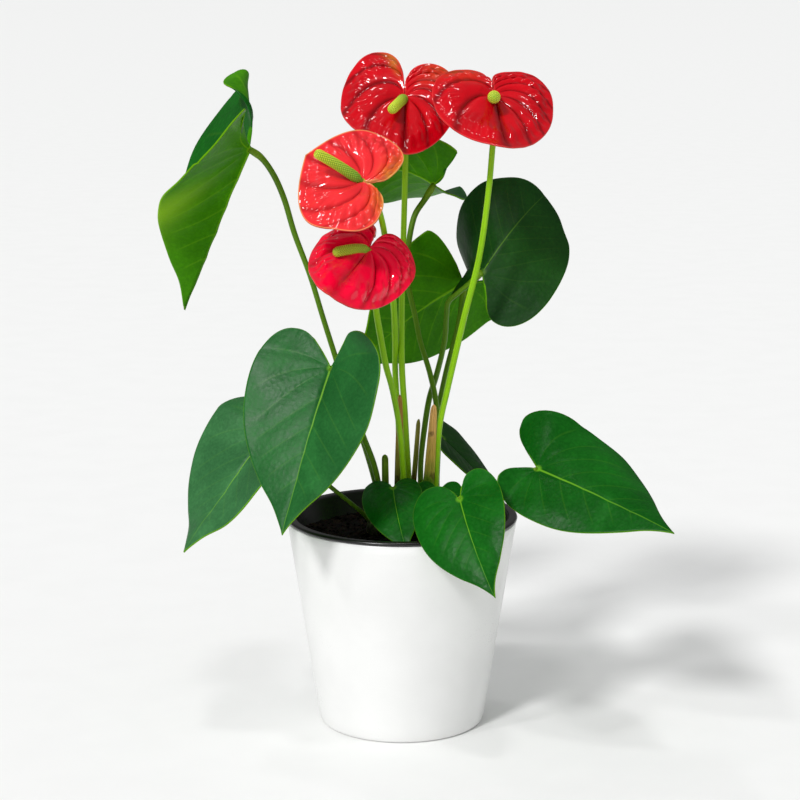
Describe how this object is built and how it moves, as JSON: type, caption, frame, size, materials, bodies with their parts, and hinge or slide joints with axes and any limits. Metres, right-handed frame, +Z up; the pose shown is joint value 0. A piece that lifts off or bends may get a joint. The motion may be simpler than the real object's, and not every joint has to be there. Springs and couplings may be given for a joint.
{
  "type": "potted anthurium",
  "caption": "Flowering house plant with heart-shaped leaves, red heart-shaped spathes with yellow spikes and long stalks, in a black grower's pot inside a white tapered cover pot.",
  "frame": {"origin": "the middle of the cover pot's flat foot, on the surface it stands on", "axes": "+Z up; -Y towards the viewer of the picture; +X to the right of the picture"},
  "size_m": [0.2967, 0.1872, 0.4039],
  "materials": {
    "cover_pot": "satin",
    "grower_pot": "gloss",
    "soil": "matte",
    "crown": "matte",
    "leaf": "satin",
    "petiole": "satin",
    "spathe": "gloss",
    "spadix": "matte",
    "bract": "matte"
  },
  "bodies": {
    "root": {"leaf_1_blade": "leaf", "leaf_1_petiole": "petiole", "leaf_2_blade": "leaf", "leaf_2_petiole": "petiole", "leaf_3_blade": "leaf", "leaf_3_petiole": "petiole", "leaf_4_blade": "leaf", "leaf_4_petiole": "petiole", "leaf_5_blade": "leaf", "leaf_5_petiole": "petiole", "leaf_6_blade": "leaf", "leaf_6_petiole": "petiole", "leaf_7_blade": "leaf", "leaf_7_petiole": "petiole", "leaf_8_blade": "leaf", "leaf_8_petiole": "petiole", "leaf_9_blade": "leaf", "leaf_9_petiole": "petiole", "leaf_10_blade": "leaf", "leaf_10_petiole": "petiole", "leaf_11_blade": "leaf", "leaf_11_petiole": "petiole", "bloom_a_spathe": "spathe", "bloom_a_spadix": "spadix", "bloom_a_stalk": "petiole", "bloom_b_spathe": "spathe", "bloom_b_spadix": "spadix", "bloom_b_stalk": "petiole", "bloom_c_spathe": "spathe", "bloom_c_spadix": "spadix", "bloom_c_stalk": "petiole", "bloom_d_spathe": "spathe", "bloom_d_spadix": "spadix", "bloom_d_stalk": "petiole", "bract_tall": "bract", "bract_tan": "bract", "bract_small": "bract", "bract_short": "bract", "crown_left": "crown", "crown_middle": "crown", "crown_right": "crown", "soil": "soil", "grower_pot": "grower_pot", "cover_pot": "cover_pot"}
  },
  "joints": []
}
